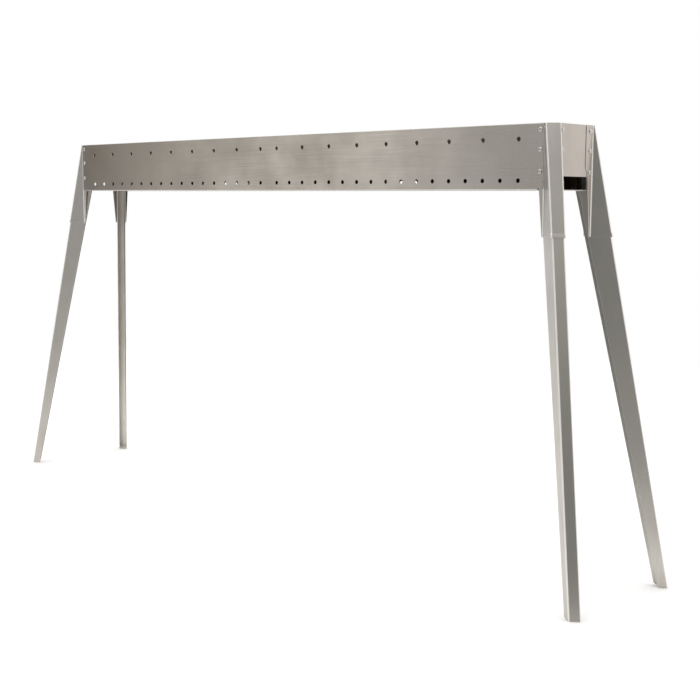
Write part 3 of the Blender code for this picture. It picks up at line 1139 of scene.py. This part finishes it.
@dataclass
class Rivets:
    """Domed blind rivets, each with the stub of its pulled pin in the head."""

    gauge: Gauge
    finish: bpy.types.Material
    head: float = 0.0084
    dome: float = 0.0018
    rounding: float = 0.9       # share of the dome's height that its edge is rounded over
    shank: float = 0.0040
    tail: float = 0.0056
    tail_length: float = 0.0030
    tail_taper: float = 0.75
    eye: float = 0.0024         # the hollow in the head, round the pin
    eye_depth: float = 0.0007
    eye_ring: float = 0.0003
    pin_rise: float = 0.0004

    def flat_at(self, piece: bpy.types.Object, z: float, radius: float = 1.0) -> None:
        """Select the flat faces at a height whose centres are within a radius of the axis."""

        def flat(centre: Vector, normal: Vector) -> bool:
            """Tell whether a face is one of them."""
            level = abs(centre.z - z) < TOUCH and abs(normal.z) > 0.99
            return level and centre.xy.length < radius

        pick(piece, faces=flat)

    @staticmethod
    def draw(height: float) -> None:
        """Extrude the selected faces along Z."""
        bpy.ops.mesh.extrude_region_move(TRANSFORM_OT_translate={"value": (0.0, 0.0, height)})

    def pattern(self) -> bpy.types.Object:
        """Return one rivet about +Z with the sheets' outer face at zero."""
        gauge = self.gauge
        deselect_all()
        bpy.ops.mesh.primitive_cylinder_add(
            vertices=28,
            radius=self.head / 2,
            depth=self.dome,
            location=(0.0, 0.0, gauge.gap + self.dome / 2),
        )
        piece = named("rivet pattern")
        settle(piece)
        top = gauge.gap + self.dome
        bpy.ops.object.mode_set(mode="EDIT")
        edge = self.dome * self.rounding
        pick(piece, edges=lambda one, two: abs(one.z - top) < TOUCH and abs(two.z - top) < TOUCH)
        bpy.ops.mesh.bevel(offset=edge, segments=6, affect="EDGES", profile=0.5)
        self.flat_at(piece, top)
        bpy.ops.mesh.inset(thickness=self.head / 2 - edge - self.eye / 2)
        self.flat_at(piece, top, self.eye / 4)
        self.draw(-self.eye_depth)
        bpy.ops.mesh.inset(thickness=self.eye_ring)
        self.draw(self.pin_rise)
        self.flat_at(piece, gauge.gap)
        bpy.ops.mesh.inset(thickness=self.head / 2 - self.shank / 2)
        self.draw(-2 * gauge.sheet - 2 * gauge.gap)
        self.draw(-gauge.gap)
        wide = self.tail / self.shank
        bpy.ops.transform.resize(value=(wide, wide, 1.0))
        self.draw(-self.tail_length)
        bpy.ops.transform.resize(value=(self.tail_taper, self.tail_taper, 1.0))
        bpy.ops.object.mode_set(mode="OBJECT")
        smooth(piece, angle=35.0)
        return piece

    def places(self, side: Side) -> list[tuple[Vector, Vector]]:
        """Return the places and outward directions of a corner's six rivets."""
        gauge = self.gauge
        sx, sy = side.value
        panel_x = sx * (gauge.panel_end - gauge.rivet_inset)
        end_x = sx * (gauge.end_face + gauge.gap + gauge.sheet)
        end_y = sy * (gauge.end_half - gauge.rivet_inset)
        levels = [gauge.rim - drop for drop in gauge.rivet_drops]
        panel = [Vector((panel_x, sy * gauge.panel_face(z), z)) for z in levels]
        end = [Vector((end_x, end_y, z)) for z in levels]
        outwards = [Vector((0, sy, 0))] * len(panel) + [Vector((sx, 0, 0))] * len(end)
        return list(zip(panel + end, outwards))

    def build(self) -> None:
        """Set all the rivets."""
        pattern = self.pattern()
        for side in Side:
            for number, (place, outward) in enumerate(self.places(side), 1):
                rivet = pattern.copy()
                rivet.data = pattern.data.copy()
                rivet.name = f"blind_{side.name}_{number}"
                bpy.context.scene.collection.objects.link(rivet)
                turn = outward.to_track_quat("Z", "Y").to_matrix().to_4x4()
                rivet.matrix_world = Matrix.Translation(place) @ turn
                settle(rivet)
                node = f"rivet_{side.name}_{number}"
                fit_out(rivet, self.finish, "trough", "rivet_steel", node)
        bpy.data.objects.remove(pattern)


@dataclass
class Grate:
    """The lift-out charcoal grate: a perforated deck with down-turned edges on feet."""

    gauge: Gauge
    end_air: float = 0.0200
    side_air: float = 0.0022
    height: float = 0.0320
    rail: float = 0.0045     # depth of the down-turned edges between the feet
    feet: int = 5
    foot: float = 0.0140
    hole: float = 0.0110
    hole_corners: int = 24
    pitch: float = 0.0540
    rows: int = 3
    row_pitch: float = 0.0360
    finish: RolledStainless = RolledStainless(
        "heat-stained 304 stainless grate",
        colour="#A39A8E",
        shade="#8C8277",
        roughness=0.38,
        heat="#7E6750",
    )

    def part_feet(self, piece: bpy.types.Object, low: float, end: float) -> None:
        """Cut the down-turned edges away between the feet.

        Args:
            piece: The folded deck.
            low: Height that the feet stand on.
            end: Half the grate's length.
        """
        gauge = self.gauge
        step = (2 * end - self.foot) / (self.feet - 1)
        for gap in range(self.feet - 1):
            left = -end + self.foot + gap * step
            right = left + step - self.foot
            first = Vector((left, -gauge.width, low - gauge.sheet))
            last = Vector((right, gauge.width, low + self.height - self.rail))
            cut_box(piece, f"between feet {gap}", first, last)

    def punch_deck(self, piece: bpy.types.Object, deck: float, end: float) -> None:
        """Punch the deck's rows of holes.

        Args:
            piece: The folded deck.
            deck: Height of the deck.
            end: Half the grate's length.
        """
        columns = int(2 * end / self.pitch)
        first = -(columns - 1) / 2 * self.pitch
        punch = Punch(self.hole, length=0.01, corners=self.hole_corners)
        for row in range(self.rows):
            place = (first, (row - (self.rows - 1) / 2) * self.row_pitch, deck)
            cut_away(piece, punch.row(f"grate punches {row}", place, columns, self.pitch))

    def build(self) -> bpy.types.Object:
        """Return the finished grate."""
        gauge = self.gauge
        low = gauge.floor_z + gauge.sheet + gauge.gap
        deck = low + self.height - gauge.sheet / 2
        half = gauge.width / 2 - gauge.draft - 1.5 * gauge.sheet - self.side_air
        end = gauge.panel_end - self.end_air
        side = [(half, low)]
        side += arc((half - gauge.fold, deck - gauge.fold), gauge.fold, 0, 90, 6)
        line = side + [(-y, z) for y, z in reversed(side)]
        rows = [[Vector((x, y, z)) for y, z in line] for x in (-end, end)]
        piece = folded_sheet("grate_deck", rows, gauge.sheet)
        self.part_feet(piece, low, end)
        self.punch_deck(piece, deck, end)
        smooth(piece)
        return fit_out(piece, self.finish.build(), "grate", "grate_steel", "charcoal_grate")


def main() -> None:
    """Build the grill and its studio."""
    gauge = Gauge()
    plan = CornerPlan(gauge)
    Studio().build()
    # Soot and heat leave the inside brown and nearly black.
    smoked = RolledStainless(
        "smoked 304 stainless inside", "#7C756C", "#5F5850", 0.36, heat="#4A3C30", sway_mm=0.1
    ).build()
    Trough(gauge, smoked).build()
    upright = RolledStainless("rolled 304 stainless, grain upright", grain=Grain.ALONG_Z).build()
    ends = RolledStainless("rolled 304 stainless end plates", grain=Grain.ALONG_Z).build()
    # Painted light: the faces inside the channels, the sheet's reverse, get a paler colour that
    # lifts their shade; their higher roughness makes them mirror less.
    dull_with_painted_light = RolledStainless(
        "dull reverse of rolled 304 stainless", "#F0ECE6", "#E2DDD6", 0.46, grain=Grain.ALONG_Z
    ).build()
    # Painted highlight: a pale, rough finish on the bends and the cut edges, so that both read as
    # light lines.
    painted_highlight = RolledStainless(
        "burnished 304 stainless bends and edges",
        colour="#F4F2EE",
        shade="#ECE9E4",
        roughness=0.52,
        grain=Grain.ALONG_Z,
        sway_mm=0.0,
    ).build()
    # Drawn wire is smooth and clean, and gives each head a small highlight.
    polished = RolledStainless(
        "drawn 304 stainless rivets", "#D8D6D2", "#C6C3BE", 0.2, sway_mm=0.0, bump_mm=0.004
    ).build()
    for name, way in (("left", -1), ("right", 1)):
        EndPlate(gauge, name, way, ends, smoked).build()
    for side in Side:
        Socket(plan, side, upright, dull_with_painted_light, painted_highlight).build()
        Leg(plan, side, upright, dull_with_painted_light, painted_highlight).build()
    Rivets(gauge, polished).build()
    Grate(gauge).build()


if __name__ == "__main__":
    main()
